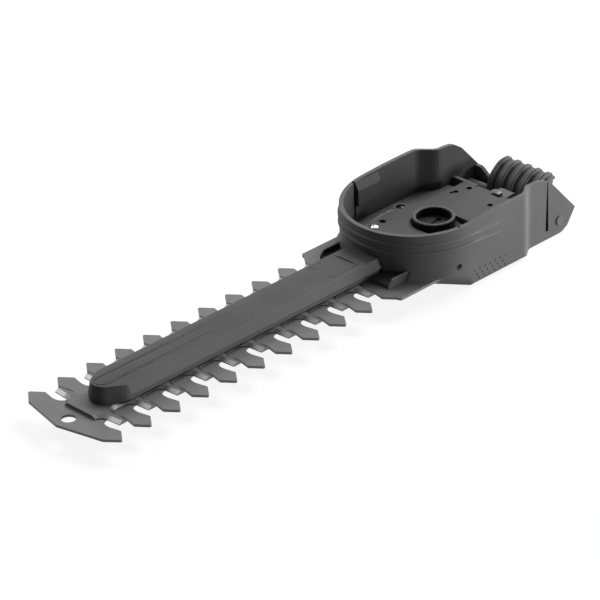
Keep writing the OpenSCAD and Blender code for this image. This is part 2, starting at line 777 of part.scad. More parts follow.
module sole_screws() {
    color("silver") for (p = lid_screws) translate([p[0], p[1], sole_z]) {
        translate([0, 0, 0.1]) cylinder(h = 1.28, r1 = 2.68, r2 = 1.4);
        translate([0, 0, 0.5]) cylinder(h = 7.5, d = deck_screw_d);
    }
}

module comb_screws() {
    color("darkgray") both_sides() for (p = [[comb_front_x, comb_front_y], [comb_rear_x, comb_rear_y]])
        translate([p[0], p[1], comb_bot]) {
            translate([0, 0, -1.3]) cylinder(h = 1.3, r1 = 2.4, r2 = 2.9);
            cylinder(h = comb_t + 3, r = comb_screw_r);
        }
}

// The deck
// Plan of the deck, drawn in by an inset
module deck_plan(inset) {
    translate([tub_x, 0]) circle(r = deck_r - inset);
    polygon([
        [tub_x, deck_r - inset], [-3, deck_r - inset], [11, deck_y - inset],
        [deck_x - inset, deck_y - inset], [deck_x - inset, inset - deck_y],
        [11, inset - deck_y], [-3, inset - deck_r], [tub_x, inset - deck_r]
    ]);
    for (p = side_screws_at) translate(p) circle(r = 4.5 - inset);
}

module deck_plate() {
    skirt = 1.6;
    color([0.36, 0.36, 0.37]) difference() {
        union() {
            translate([0, 0, -deck_t]) linear_extrude(deck_t) deck_plan(0);
            translate([0, 0, floor_top]) linear_extrude(-deck_t - floor_top + e) difference() {
                deck_plan(0);
                deck_plan(skirt);
            }
            // Raised lip along the round front
            translate([tub_x, 0, -e]) rotate([0, 0, 90]) rotate_extrude(angle = 180)
                polygon([[deck_r - 1.1, 0], [deck_r, 0], [deck_r - 0.3, 0.5], [deck_r - 0.9, 0.5]]);
        }
        // The skirt stands clear of the raised floor
        translate([-room_x - cover_wall - 0.1, -room_y - cover_wall - 0.1, comb_top])
            cube([2 * (room_x + cover_wall) + 0.2, 2 * (room_y + cover_wall) + 0.2, web_top - comb_top]);
        translate([tub_x - tub_r, -lane_y - cover_wall - 0.1, comb_top])
            cube([tub_r, 2 * (lane_y + cover_wall) + 0.2, web_top - 0.7 - comb_top]);
        both_sides() translate([comb_rear_x, comb_rear_y, comb_top])
            cylinder(h = web_top - comb_top, r = 4.1);
        for (p = concat(side_screws_at, deck_screws_at)) translate([p[0], p[1], comb_top])
            cylinder(h = -deck_t - comb_top, r = post_r + 0.1);
        for (p = deck_screws_at) translate([p[0], p[1], 0]) cylinder(h = 3, r = 2.8);
        // Opening round the drive cup, wider toward one side
        translate([0, 0, -deck_t - 1]) cylinder(h = deck_t + 2, r = port_r);
        translate([-port_r, -port_l, -deck_t - 1]) cube([2 * port_r, port_l, deck_t + 2]);
        // Screw holes, with the side pair sunk
        for (p = deck_screws_at) translate([p[0], p[1], -deck_t - 1]) cylinder(h = 9, d = deck_screw_d);
        for (p = side_screws_at) translate([p[0], p[1], -deck_t - 1]) {
            cylinder(h = 9, d = deck_screw_d);
            translate([0, 0, 2]) cylinder(h = 9, r = 2.7);
        }
        // Locating holes and notches
        for (h = [[-19, 21, 2], [42.6, 12.8, 1.75], [35, -10, 1.65], [34.5, 15.5, 1.6], [32, 16.5, 1.2]])
            translate([h[0], h[1], -deck_t - 1]) cylinder(h = 9, r = h[2]);
        translate([deck_x - 3, -8, -deck_t - 1]) cube([4, 7, 9]);
        translate([deck_x - 1.2, 10.6, -deck_t - 1]) cube([3, 1.8, 9]);
    }
}

// Pan head screw that stands on its seat
module pan_screw(length) {
    head_r = 2.5;
    intersection() {
        cylinder(h = 1.7, r = head_r);
        translate([0, 0, -2.3]) sphere(r = 4);
    }
    translate([0, 0, -length]) cylinder(h = length + e, d = deck_screw_d);
}

module deck_screws() {
    color("white") {
        for (p = deck_screws_at) translate([p[0], p[1], 0]) difference() {
            pan_screw(6.5);
            screw_cross();
        }
        for (p = side_screws_at) translate([p[0], p[1], 1 - deck_t]) difference() {
            pan_screw(5.5);
            screw_cross();
        }
    }
}

module screw_cross() {
    for (a = [0, 90]) rotate([0, 0, a + 20]) translate([-1.5, -0.35, 0.9]) cube([3, 0.7, 2]);
}

// The drive
module drive_cup() {
    color([0.16, 0.16, 0.17]) difference() {
        rotate_extrude() polygon([
            [0, journal_bot], [journal_d / 2 - 0.3, journal_bot], [journal_d / 2, journal_bot + 0.3],
            [journal_d / 2, flange_bot], [flange_d / 2, flange_bot], [flange_d / 2, flange_top],
            [cup_d / 2, flange_top], [cup_d / 2, cup_h - 0.4], [cup_d / 2 - 0.4, cup_h],
            [cup_bore / 2 + 0.4, cup_h], [cup_bore / 2, cup_h - 0.4], [cup_bore / 2, -cup_floor],
            [0, -cup_floor]
        ]);
        // Key slot that the tool's shaft turns
        rotate([0, 0, rest_turn]) translate([-7, -1.6, -cup_floor - 1]) cube([14, 3.2, 3]);
        translate([crank_x, crank_y, journal_bot - 1]) cylinder(h = 1 + crank_seat, d = crank_d);
    }
}

crank_seat = 2.3;

module bearing_bush() {
    color("peru") translate([0, 0, web_bot]) difference() {
        cylinder(h = web_t, r = bore_r);
        translate([0, 0, -1]) cylinder(h = web_t + 2, r = bore_r - bush_t);
    }
}

module thrust_washer() {
    color("gray") translate([0, 0, web_top]) difference() {
        cylinder(h = washer_t, r = bore_r + 1.5);
        translate([0, 0, -1]) cylinder(h = washer_t + 2, r = journal_d / 2 + 0.4);
    }
}

module crank_pin() {
    color("silver") translate([crank_x, crank_y, cutter_bot + 0.05])
        cylinder(h = journal_bot + crank_seat - cutter_bot - 0.05, d = crank_d);
}

module crank_roller() {
    color("darkgray") translate([crank_x, crank_y, cutter_bot + 0.1]) difference() {
        cylinder(h = cutter_t - 0.05, d = roller_d);
        translate([0, 0, -1]) cylinder(h = cutter_t + 2, r = crank_d / 2 + run_gap);
    }
}

// The latch
// Pie slice of the lever's side view, with X along and Z up, as a solid
module arch_slice(half_y) {
    translate([0, half_y, 0]) rotate([90, 0, 0]) linear_extrude(2 * half_y) polygon([
        [pivot_x - 6, arch_z], [pivot_x - 6, arch_z + 20], [arch_x + 1.6, arch_z + 20],
        [arch_x + 1.6, arch_z + 10.7], [arch_x - 4, arch_z + 4], [pivot_x + 3, arch_z - 2],
        [pivot_x - 6, arch_z - 0.4]
    ]);
}

module arch_disc(r, half_y) {
    translate([arch_x, half_y, arch_z]) rotate([90, 0, 0]) cylinder(h = 2 * half_y, r = r);
}

// Ring about the latch pin's axis between two places along Y
module barrel(y0, y1, d) {
    translate([pivot_x, y0, pivot_z]) rotate([-90, 0, 0]) cylinder(h = y1 - y0, d = d);
}

module latch_lever() {
    inner_y = lever_y - shell_t;
    color([0.27, 0.27, 0.28]) difference() {
        union() {
            // Arched shell, open below and behind
            difference() {
                intersection() {
                    arch_disc(arch_r, lever_y);
                    arch_slice(lever_y);
                }
                intersection() {
                    arch_disc(arch_r - shell_t, inner_y);
                    translate([0, 0, -e]) arch_slice(inner_y);
                }
            }
            // Ribs across the arch
            for (k = [-2:2]) translate([0, k * rib_step, 0]) intersection() {
                difference() {
                    arch_disc(rib_r, rib_t / 2);
                    arch_disc(arch_r - 1, rib_t);
                    // Fine groove along the crown
                    difference() {
                        arch_disc(rib_r + 1, 0.25);
                        arch_disc(rib_r - 0.6, 1);
                    }
                }
                rib_slice();
            }
            // Thick rear lip
            translate([arch_x - 1, -lever_y, arch_z + 10.7]) cube([2.6, lever_w, 3.5]);
            // Barrels, and the arm that carries the stud
            barrel(-lever_y, end_barrel - lever_y, barrel_d);
            barrel(lever_y - end_barrel, lever_y, barrel_d);
            barrel(-arm_y, arm_y, barrel_d);
            translate([0, arm_y, 0]) rotate([90, 0, 0]) linear_extrude(2 * arm_y) polygon([
                [stud_x - stud_l / 2 - 0.4, arm_top], [pivot_x - 4, arm_top], [pivot_x + 1, arch_z + 3],
                [pivot_x + 2.5, pivot_z], [pivot_x - 2, pivot_z - 3], [pivot_x - 7.5, arm_top - 3],
                [stud_x - stud_l / 2 - 0.4, arm_top - 2.6]
            ]);
        }
        barrel(-lever_y - 1, lever_y + 1, pin_d + 2 * run_gap);
        // Room for the spring's coil beside the arm
        both_sides() barrel(arm_y, lever_y - end_barrel, 2 * (coil_r + wire_d / 2 + 0.4));
        // The stud's seat
        translate([stud_x, 0, arm_top - 1.2]) cylinder(h = 3, d = 3);
    }
}

// Where the ribs begin at the front and end at the rear
module rib_slice() {
    translate([0, big / 2, 0]) rotate([90, 0, 0]) linear_extrude(big) polygon([
        [pivot_x - 8, arch_z + 0.7], [pivot_x - 8, arch_z + 20], [arch_x, arch_z + 20],
        [arch_x + 3.2, arch_z + 15], [arch_x + 3.2, arch_z + 12], [arch_x + 1.6, arch_z + 10.7],
        [arch_x, arch_z + 10.7], [arch_x - 8, arch_z + 0.7]
    ]);
}

module latch_stud() {
    color([0.6, 0.6, 0.6]) {
        translate([stud_x, 0, arm_top]) intersection() {
            linear_extrude(stud_h) rounded(-stud_l / 2, stud_l / 2, stud_w / 2, 1.5);
            translate([0, 0, stud_h - 8]) sphere(r = 8);
        }
        translate([stud_x, 0, arm_top - 1.2]) cylinder(h = 1.4, d = 3);
    }
}

module latch_pin() {
    color("silver") {
        barrel(-cheek_y, cheek_y + 1.1, pin_d);
        barrel(-cheek_y - 0.8, -cheek_y, pin_d + 2.4);
    }
}

module pin_clip() {
    color("dimgray") difference() {
        barrel(cheek_y, cheek_y + 0.6, pin_d + 3.2);
        barrel(cheek_y - 1, cheek_y + 2, pin_d);
        translate([pivot_x - 0.5, cheek_y - 1, pivot_z]) cube([1, 3, 9]);
    }
}

module latch_spring() {
    r = wire_d / 2;
    last_y = coil_y + coil_step * (turns - 1);
    foot = [pivot_x - 8, ledge_top + 0.3 + r];
    reach = arch_r - shell_t - 0.6;
    push = [arch_x - 0.716 * reach, arch_z + 0.698 * reach];
    color("lightgray") {
        for (k = [0:turns - 1]) translate([pivot_x, coil_y + coil_step * k, pivot_z])
            rotate([90, 0, 0]) rotate_extrude() translate([coil_r, 0]) circle(r = r, $fn = 16);
        for (k = [0:turns - 2]) translate([pivot_x, coil_y + coil_step * k, pivot_z + coil_r])
            rotate([-90, 0, 0]) cylinder(h = coil_step, r = 0.8 * r);
        wire([pivot_x, pivot_z - coil_r], foot, coil_y);
        wire([pivot_x + coil_r, pivot_z], push, last_y);
    }
}

// Straight leg, drawn slightly thinner, between two places in the side view
module wire(a, b, y) {
    v = b - a;
    translate([a[0], y, a[1]]) rotate([0, 90 - atan2(v[1], v[0]), 0])
        cylinder(h = norm(v), d = wire_d - 0.12, $fn = 16);
}

comb_plate();
cutter_blade();
guide_bar();
guide_bushes();
bar_screws();
housing_shell();
sole_cover();
sole_screws();
comb_screws();
deck_plate();
deck_screws();
drive_cup();
bearing_bush();
thrust_washer();
crank_pin();
crank_roller();
latch_lever();
latch_stud();
latch_pin();
pin_clip();
latch_spring();
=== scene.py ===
import math

import bpy
import numpy as np
from mathutils import Matrix, Vector
from mathutils.bvhtree import BVHTree


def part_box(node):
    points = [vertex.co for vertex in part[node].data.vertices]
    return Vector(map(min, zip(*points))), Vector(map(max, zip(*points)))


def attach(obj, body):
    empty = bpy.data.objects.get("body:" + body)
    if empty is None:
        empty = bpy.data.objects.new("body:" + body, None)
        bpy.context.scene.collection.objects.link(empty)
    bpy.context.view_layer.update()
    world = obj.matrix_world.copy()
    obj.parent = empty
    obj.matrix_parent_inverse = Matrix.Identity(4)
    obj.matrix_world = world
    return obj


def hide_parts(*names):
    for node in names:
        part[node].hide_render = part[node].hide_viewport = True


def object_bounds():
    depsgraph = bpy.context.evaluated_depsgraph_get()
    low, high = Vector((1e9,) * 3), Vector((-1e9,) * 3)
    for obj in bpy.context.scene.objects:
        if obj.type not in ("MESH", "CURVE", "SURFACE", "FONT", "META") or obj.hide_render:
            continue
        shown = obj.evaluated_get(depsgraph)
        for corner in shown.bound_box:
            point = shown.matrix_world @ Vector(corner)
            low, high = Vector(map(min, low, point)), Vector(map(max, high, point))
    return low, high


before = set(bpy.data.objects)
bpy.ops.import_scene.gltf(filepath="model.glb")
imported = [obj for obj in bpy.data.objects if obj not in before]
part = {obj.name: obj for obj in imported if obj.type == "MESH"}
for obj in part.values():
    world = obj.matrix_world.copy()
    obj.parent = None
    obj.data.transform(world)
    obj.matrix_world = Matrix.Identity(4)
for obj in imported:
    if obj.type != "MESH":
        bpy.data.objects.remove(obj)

cad_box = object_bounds()

# The viewpoint: a long lens nearly two metres away, above the tip and to the blade's
# near side, with the whole blade across the picture and the horizon almost level.
view_from = Vector((-1.228789, -1.167204, 0.879655))
view_right = Vector((0.708519, -0.705059, -0.029866))
view_up = Vector((0.357318, 0.321932, 0.876747))
view_back = view_right.cross(view_up)
lens = bpy.data.cameras.new("long_lens")
lens.sensor_width = 36
lens.lens = 207.09
lens.clip_start = 0.05
viewpoint = bpy.data.objects.new("long_lens", lens)
viewpoint.matrix_world = Matrix([[view_right[i], view_up[i], view_back[i], view_from[i]]
                                 for i in range(3)] + [[0, 0, 0, 1]])
bpy.context.scene.collection.objects.link(viewpoint)
bpy.context.scene.camera = viewpoint


# The comb plate: the fixed lower blade, punched from 1.5 mm spring steel strip with a
# black coat over it. Rolling marks run along the strip, and the coat is rubbed thin on edges.
def open_finish(name):
    """Starts a finish and gives it back with its one surface shader."""
    finish = bpy.data.materials.new(name)
    finish.use_nodes = True
    return finish, finish.node_tree.nodes["Principled BSDF"]


def add(finish, kind, joined=None, **settings):
    """Adds one shader node. settings go on the node itself, and joined gives each input
    a number, a colour or another node's output."""
    made = finish.node_tree.nodes.new("ShaderNode" + kind)
    for key, value in settings.items():
        setattr(made, key, value)
    for key, value in (joined or {}).items():
        if isinstance(value, bpy.types.NodeSocket):
            finish.node_tree.links.new(value, made.inputs[key])
        else:
            made.inputs[key].default_value = value
    return made


def speckle(finish, size, pull=(1, 1, 1), detail=2.0):
    """Cloudy noise with grains about size metres across, drawn out by pull along x, y, z."""
    place = add(finish, "TexCoord").outputs["Object"]
    scaled = add(finish, "Mapping", {
        "Vector": place, "Scale": [1 / (size * p) for p in pull]}).outputs["Vector"]
    return add(finish, "TexNoise", {
        "Vector": scaled, "Scale": 1.0, "Detail": detail}).outputs["Fac"]


def spread(finish, value, low, high, least=0.0, most=1.0):
    """Carries value from the range low..high to least..most and stops at the ends."""
    return add(finish, "MapRange", {
        "Value": value, "From Min": low, "From Max": high,
        "To Min": least, "To Max": most}).outputs["Result"]


def tint(finish, factor, first, second):
    """Goes from the first colour to the second with factor. A number is a plain grey."""
    mixed = add(finish, "Mix", {0: factor}, data_type="RGBA")
    for spot, colour in ((6, first), (7, second)):
        if isinstance(colour, bpy.types.NodeSocket):
            finish.node_tree.links.new(colour, mixed.inputs[spot])
        else:
            mixed.inputs[spot].default_value = (*colour, 1.0)
    return mixed.outputs[2]


def worn_edge(finish, reach):
    """1 along a sharp edge and 0 on a flat: how far the face direction, averaged within
    reach metres, leaves the true face direction."""
    round_way = add(finish, "Bevel", {"Radius": reach}, samples=4).outputs["Normal"]
    true_way = add(finish, "NewGeometry").outputs["Normal"]
    alike = add(finish, "VectorMath", {0: round_way, 1: true_way},
                operation="DOT_PRODUCT").outputs["Value"]
    return spread(finish, alike, 0.99, 0.80)


def relief(finish, shader, height, depth, soft=None):
    """Lifts the surface by height times depth metres, on top of edges rounded by soft."""
    joined = {"Height": height, "Distance": depth, "Strength": 1.0}
    if soft:
        joined["Normal"] = add(finish, "Bevel", {"Radius": soft}, samples=4).outputs["Normal"]
    lifted = add(finish, "Bump", joined).outputs["Normal"]
    finish.node_tree.links.new(lifted, shader.inputs["Normal"])


def dress(finish, *names):
    """Gives CAD nodes this finish."""
    for name in names:
        for patch in part[name].material_slots:
            patch.material = finish


plate_coat, shader = open_finish("plate_coat")
rolled = speckle(plate_coat, 0.00025, (60, 1, 1), 4.0)
cloudy = speckle(plate_coat, 0.018, (1, 1, 1), 3.0)
grey = tint(plate_coat, spread(plate_coat, cloudy, 0.35, 0.65),
            (0.154, 0.154, 0.156), (0.180, 0.180, 0.182))
grey = tint(plate_coat, spread(plate_coat, rolled, 0.3, 0.8, 0.0, 0.25), grey, (0.22, 0.22, 0.222))
edge = worn_edge(plate_coat, 0.00022)
grey = tint(plate_coat, spread(plate_coat, edge, 0.0, 1.0, 0.0, 0.5), grey, (0.30, 0.30, 0.30))
plate_coat.node_tree.links.new(grey, shader.inputs["Base Color"])
plate_coat.node_tree.links.new(spread(plate_coat, rolled, 0.2, 0.8, 0.42, 0.56), shader.inputs["Roughness"])
shader.inputs["Metallic"].default_value = 0.25
relief(plate_coat, shader, rolled, 0.000012, 0.00012)
dress(plate_coat, "comb_plate")

# The cutter: the upper blade that slides on the comb. Its flats keep the black coat, and
# every slanted cutting face is ground bright and scratched, painted darker in the gullets and rearward as
# painted shade.
def place_on(finish):
    """Where a point is in the part's own frame, split into X, Y and Z in metres."""
    at = add(finish, "TexCoord").outputs["Object"]
    return add(finish, "SeparateXYZ", {"Vector": at}).outputs


def skin_way(finish):
    """Which way the true face looks, split into X, Y and Z."""
    way = add(finish, "NewGeometry").outputs["True Normal"]
    return add(finish, "SeparateXYZ", {"Vector": way}).outputs


def times(finish, first, second):
    """The product of two masks."""
    return add(finish, "Math", {0: first, 1: second}, operation="MULTIPLY").outputs[0]


cutter_steel, shader = open_finish("cutter_steel")
facing = skin_way(cutter_steel)["Z"]
not_flat = spread(cutter_steel, facing, 0.985, 0.965)
not_wall = spread(cutter_steel, facing, 0.03, 0.06)
ground = times(cutter_steel, not_flat, not_wall)
scratched = speckle(cutter_steel, 0.00012, (30, 1, 1), 5.0)
rolled = speckle(cutter_steel, 0.00025, (60, 1, 1), 4.0)
coat = tint(cutter_steel, rolled, (0.110, 0.110, 0.112), (0.165, 0.165, 0.168))
bright = tint(cutter_steel, scratched, (0.20, 0.20, 0.20), (0.38, 0.38, 0.375))
shade_grey = (0.11, 0.11, 0.11)
where = place_on(cutter_steel)
aside = add(cutter_steel, "Math", {0: where["Y"]}, operation="ABSOLUTE").outputs[0]
# Painted shade: ground faces are painted darker near the bar, in the gullets, and towards the rear.
gullet_shade = spread(cutter_steel, aside, 0.0185, 0.0155)
rear_shade = spread(cutter_steel, where["X"], -0.235, -0.130, 0.0, 0.75)
bright = tint(cutter_steel, gullet_shade, bright, shade_grey)
bright = tint(cutter_steel, rear_shade, bright, shade_grey)
cutter_steel.node_tree.links.new(tint(cutter_steel, ground, coat, bright), shader.inputs["Base Color"])
cutter_steel.node_tree.links.new(spread(cutter_steel, ground, 0, 1, 0.3, 1.0), shader.inputs["Metallic"])
rough = add(cutter_steel, "Mix", {0: ground, 2: spread(cutter_steel, rolled, 0.2, 0.8, 0.40, 0.54),
                                  3: spread(cutter_steel, scratched, 0.2, 0.8, 0.30, 0.48)}, data_type="FLOAT")
cutter_steel.node_tree.links.new(rough.outputs[0], shader.inputs["Roughness"])
relief(cutter_steel, shader, scratched, 0.000010, 0.00010)
dress(cutter_steel, "cutter_blade")


# The guide bar: a long rib moulded in black nylon over the two blades, semi-glossy from
# a polished mould, with fine sink and handling marks. Screws from below hold it.
def moulded(name, dark, light, roughness, sheen, grain, depth, rub_and_highlight, soft=0.00025, shade_left=1.0,
            inner_shade=None, near=0.012):
    """Moulded plastic: colour drifts slowly from dark to light, an even eroded grain of
    grain metres lifts it by depth, and edges are made lighter by rub, partly rubbed wear and
    partly painted highlight. sheen is how much the skin mirrors, where 0.5 is a clean gloss.
    soft is how far edges look rounded, and hollow is what is left of the colour in a corner
    narrower than near, as painted shade. inner gives 1 where the colour is painted darker as painted shade."""
    finish, shader = open_finish(name)
    drift = speckle(finish, 0.03, (1, 1, 1), 2.0)
    fine = speckle(finish, grain, (1, 1, 1), 3.0)
    colour = tint(finish, spread(finish, drift, 0.35, 0.65), (dark,) * 3, (light, light, light * 1.01))
    colour = tint(finish, spread(finish, fine, 0.35, 0.75, 0.0, 0.22), colour, (light * 1.5,) * 3)
    edge = worn_edge(finish, 0.0003)
    colour = tint(finish, spread(finish, edge, 0.0, 1.0, 0.0, rub_and_highlight), colour, (light * 2.6,) * 3)
    # Painted shade: where inner gives 1 the colour is painted darker.
    if inner_shade:
        colour = tint(finish, inner_shade(finish), colour, (dark * 0.42,) * 3)
    # Painted shade: corners narrower than near are painted darker, down to hollow of the colour.
    if shade_left < 1:
        open_sky = add(finish, "AmbientOcclusion", {"Distance": near}, samples=8,
                       only_local=True).outputs["AO"]
        deep = (dark * shade_left,) * 3
        colour = tint(finish, spread(finish, open_sky, 0.25, 0.80), deep, colour)
    finish.node_tree.links.new(colour, shader.inputs["Base Color"])
    finish.node_tree.links.new(spread(finish, fine, 0.3, 0.7, roughness, roughness + 0.09),
                               shader.inputs["Roughness"])
    shader.inputs["Specular IOR Level"].default_value = sheen
    relief(finish, shader, fine, depth, soft)
    return finish


# Painted highlight: the bar's edges are painted much lighter (0.85), partly as rubbed wear and partly as a
# painted highlight.
bar_nylon = moulded("bar_nylon", 0.096, 0.114, 0.40, 0.10, 0.0006, 0.000012, 0.85, 0.0003)
dress(bar_nylon, "guide_bar")

# Guide bushes and the screws that clamp the blades under the bar: turned plain steel, oiled,
# with turning rings round each one.
plain_steel, shader = open_finish("plain_steel")
turned = speckle(plain_steel, 0.0002, (1, 1, 1), 4.0)
plain_steel.node_tree.links.new(
    tint(plain_steel, turned, (0.26, 0.26, 0.26), (0.44, 0.44, 0.43)), shader.inputs["Base Color"])
plain_steel.node_tree.links.new(spread(plain_steel, turned, 0.3, 0.7, 0.30, 0.45), shader.inputs["Roughness"])
shader.inputs["Metallic"].default_value = 1.0
relief(plain_steel, shader, turned, 0.000008, 0.00010)
dress(plain_steel, "guide_bushes", "bar_screws", "thrust_washer")

# The housing: one deep tub moulded in grey glass-filled nylon with an eroded, matt skin.
# Inside, in the trays beside the bar and in narrow corners its colour is painted darker as painted shade.
tub_back = 0.014
tub_skin = 0.0420
tray_top, tray_rear, tray_side = -0.0032, -0.0323, 0.0270


def inside_shade(finish):
    """1 on walls that look towards the tub's middle line, where (nx, ny) . (min(x + tub_back, 0), y)
    is below zero, and 1 in the two trays beside the bar, low down and outside the tub's skin:
    where the housing's colour is painted darker as painted shade."""
    at = place_on(finish)
    ahead = add(finish, "Math", {0: at["X"], 1: tub_back}, operation="ADD").outputs[0]
    ahead = add(finish, "Math", {0: ahead, 1: 0.0}, operation="MINIMUM").outputs[0]
    outward = add(finish, "CombineXYZ", {"X": ahead, "Y": at["Y"], "Z": 0.0}).outputs[0]
    way = add(finish, "NewGeometry").outputs["True Normal"]
    facing = add(finish, "VectorMath", {0: way, 1: outward}, operation="DOT_PRODUCT").outputs["Value"]
    looks_in = spread(finish, facing, -0.004, -0.010)
    aside = add(finish, "Math", {0: at["Y"]}, operation="ABSOLUTE").outputs[0]
    radius = add(finish, "VectorMath", {0: outward}, operation="LENGTH").outputs["Value"]
    tray = times(finish, spread(finish, at["Z"], tray_top + 0.0002, tray_top - 0.0002),
                 spread(finish, at["X"], tray_rear + 0.0002, tray_rear - 0.0002))
    tray = times(finish, tray, spread(finish, aside, tray_side + 0.0002, tray_side - 0.0002))
    tray = times(finish, tray, spread(finish, radius, tub_skin - 0.0001, tub_skin + 0.0001))
    return add(finish, "Math", {0: looks_in, 1: tray}, operation="MAXIMUM").outputs[0]


# Painted shade: the inner walls and trays (0.42 of the colour) and narrow corners (0.35) are darker.
housing_nylon = moulded("housing_nylon", 0.148, 0.170, 0.55, 0.15, 0.0005, 0.000022, 0.55, 0.00015,
                        0.35, inside_shade)
dress(housing_nylon, "housing_shell", "sole_cover")

# The tub's two beads run out along its straight sides and die away in long tapered tails.
# They are cut into the mould, so they are one with the wall; their crests are painted lighter grey as a
# painted highlight.
def woven(name, grid, finish):
    """A closed skin over grid, rows of points each one ring: quads join ring to ring and
    round each ring, and a fan to the middle of the first and last ring shuts the ends.
    Faces turn outward, since the volume sum of a . (b x c) / 6 is made positive."""
    rings, sides = grid.shape[:2]
    ring, spot = np.meshgrid(np.arange(rings - 1), np.arange(sides), indexing="ij")
    after = (spot + 1) % sides
    quads = np.stack([ring * sides + spot, ring * sides + after,
                      (ring + 1) * sides + after, (ring + 1) * sides + spot], -1).reshape(-1, 4)
    points = np.concatenate([grid.reshape(-1, 3), [grid[0].mean(0), grid[-1].mean(0)]])
    spot = np.arange(sides)
    after = (spot + 1) % sides
    first = np.stack([after, spot, np.full(sides, rings * sides)], -1)
    last = (rings - 1) * sides + np.stack([spot, after, np.full(sides, sides + 1)], -1)
    corner = points[np.concatenate([quads[:, :3], quads[:, [0, 2, 3]], first, last])]
    volume = np.einsum("ij,ij->", corner[:, 0], np.cross(corner[:, 1], corner[:, 2]))
    faces = quads.tolist() + first.tolist() + last.tolist()
    if volume < 0:
        faces = [face[::-1] for face in faces]
    return moulding(name, points, faces, finish)


def moulding(name, points, faces, finish):
    """Makes a smooth-shaded piece from points and faces and gives it its finish."""
    mesh = bpy.data.meshes.new(name)
    mesh.from_pydata(points.tolist(), [], faces)
    mesh.polygons.foreach_set("use_smooth", np.ones(len(mesh.polygons), dtype=bool))
    mesh.materials.append(finish)
    mesh.update()
    piece = bpy.data.objects.new(name, mesh)
    bpy.context.scene.collection.objects.link(piece)
    return piece


def swept(path, wide, high, up, sides=10):
    """Rings round a path: point + wide cos(t) a + high sin(t) b, where a = way x up and
    b = a x way, both of length one, and wide and high may change along the path."""
    way = np.gradient(path, axis=0)
    way /= np.linalg.norm(way, axis=1, keepdims=True)
    a = np.cross(way, up)
    a /= np.linalg.norm(a, axis=1, keepdims=True)
    b = np.cross(a, way)
    turn = np.linspace(0, 2 * np.pi, sides, endpoint=False)
    return (path[:, None] + np.multiply.outer(wide, np.cos(turn))[..., None] * a[:, None]
            + np.multiply.outer(high, np.sin(turn))[..., None] * b[:, None])


shell_mesh = part["housing_shell"].data
shell_tree = BVHTree.FromPolygons([corner.co for corner in shell_mesh.vertices],
                                  [face.vertices for face in shell_mesh.polygons])


def on_wall(x, z, side):
    """Where a line along y from outside meets the housing's near (-1) or far (1) wall."""
    return shell_tree.ray_cast(Vector((x, 0.08 * side, z)), Vector((0, -side, 0)))[0]


# Each crest runs back along the near wall to the tub's centre, then r (cos t, sin t) round
# the front, and out again along the far wall. Knots are x and z from the centre to a tail's end.
# Painted highlight: the crests' grey is lighter than the housing's.
crest_highlight_nylon = moulded("crest_highlight_nylon", 0.19, 0.23, 0.50, 0.15, 0.0005, 0.000018, 0.55, 0.00015)
crest_sunk, crest_radius = 0.0001, 0.0429
crest_wide, crest_high, front_share = 0.00036, 0.00050, 0.62
wall_steps, tail_steps = 60, 26.0
crest_knots = {
    "upper": ((-tub_back, 0.0125), (-0.0054, 0.0111), (0.0030, 0.0110), (0.0118, 0.0114)),
    "lower": ((-tub_back, 0.0074), (-0.0055, 0.0063), (0.0030, 0.0056), (0.0107, 0.0051)),
}
for height, line in crest_knots.items():
    knots = np.array(line)
    x = np.linspace(knots[-1, 0], -tub_back, wall_steps)
    z = np.interp(x, knots[:, 0], knots[:, 1])
    walls = {}
    for side in (-1, 1):
        y = np.array([on_wall(a, b, side).y for a, b in zip(x, z)])
        smooth = np.convolve(np.pad(y, 3, mode="edge"), np.ones(7) / 7, mode="valid")
        walls[side] = np.stack([x, smooth - side * crest_sunk, z], -1)
    t = np.linspace(-0.5 * np.pi, -1.5 * np.pi, 122)[1:-1]
    round_front = np.stack([-tub_back + crest_radius * np.cos(t), crest_radius * np.sin(t),
                            np.full_like(t, knots[0, 1])], -1)
    path = np.concatenate([walls[-1], round_front, walls[1][::-1]])
    mark = np.minimum(np.arange(len(path)), np.arange(len(path))[::-1])
    thin = np.clip(mark / tail_steps, 0.06, 1) ** 0.7 * np.where(mark > wall_steps - 1, front_share, 1.0)
    thin = np.convolve(np.pad(thin, 4, mode="edge"), np.ones(9) / 9, mode="valid")
    rings = swept(path, crest_wide * thin, crest_high * thin, np.array([0.0, 0.0, 1.0]))
    crest = woven(f"bead_crest_{height}", rings, crest_highlight_nylon)
    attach(crest, "frame")

# Rows of grip pips low on both sides of the tub, where fingers hold it: domes moulded with
# the wall. Each stands 0.45 mm high and falls away as cos of its radius to the rim.
pip_spots = 9
pip_out = np.array([0.0, 0.45, 0.80, 1.0]) * 0.00078
pip_rise = np.array([0.00045, 0.00038, 0.00018, -0.00008])
pip_root = 0.0004
turn = np.linspace(0, 2 * np.pi, pip_spots, endpoint=False)
places = [(-0.0123 + 0.00415 * k + 0.0018 * row, -0.0109 - 0.0027 * row)
          for row in range(3) for k in range(6)] + [(0.0129, -0.0108)]
step = [(k, (k + 1) % pip_spots) for k in range(pip_spots)]
dome = [(0, 1 + b, 1 + a) for a, b in step]
dome += [(1 + 9 * r + a, 1 + 9 * r + b, 10 + 9 * r + b, 10 + 9 * r + a) for r in range(2) for a, b in step]
dome += [(19 + a, 19 + b, 28) for a, b in step]
points, faces = [], []
for side in (-1, 1):
    for x, z in places:
        spot = on_wall(x, z, side)
        base = len(points)
        ring = np.stack([spot.x + np.outer(pip_out[1:], np.cos(turn)),
                         np.repeat(spot.y + side * pip_rise[1:, None], pip_spots, 1),
                         spot.z + np.outer(pip_out[1:], np.sin(turn))], -1).reshape(-1, 3)
        points += [(spot.x, spot.y + side * pip_rise[0], spot.z), *ring.tolist(),
                   (spot.x, spot.y - side * pip_root, spot.z)]
        faces += [tuple(base + i for i in (face if side < 0 else face[::-1])) for face in dome]
